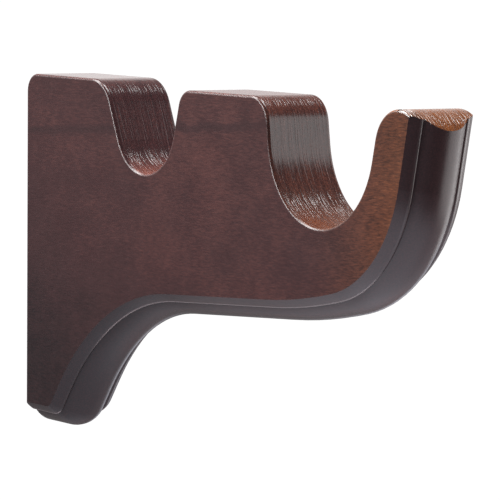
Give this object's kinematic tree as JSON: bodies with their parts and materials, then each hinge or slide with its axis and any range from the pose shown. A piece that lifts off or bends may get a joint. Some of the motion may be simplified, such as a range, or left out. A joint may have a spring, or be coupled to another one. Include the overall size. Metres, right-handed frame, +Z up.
{
  "type": "curtain pole bracket",
  "caption": "Stained wood double curtain pole bracket: a small rear cradle, a large front cradle with an upturned tip, and a moulding routed along the outer edge of the foot and arm.",
  "frame": {"origin": "on the wall face, in the middle of the board's thickness and about half way up the bracket", "axes": "+X out from the wall towards the tip, +Y along the poles, +Z up"},
  "size_m": [0.2334, 0.024, 0.1199],
  "materials": {
    "stained_wood": "dark mahogany stain under semi-gloss lacquer"
  },
  "bodies": {
    "root": {"bracket_body": "stained_wood"}
  },
  "joints": []
}
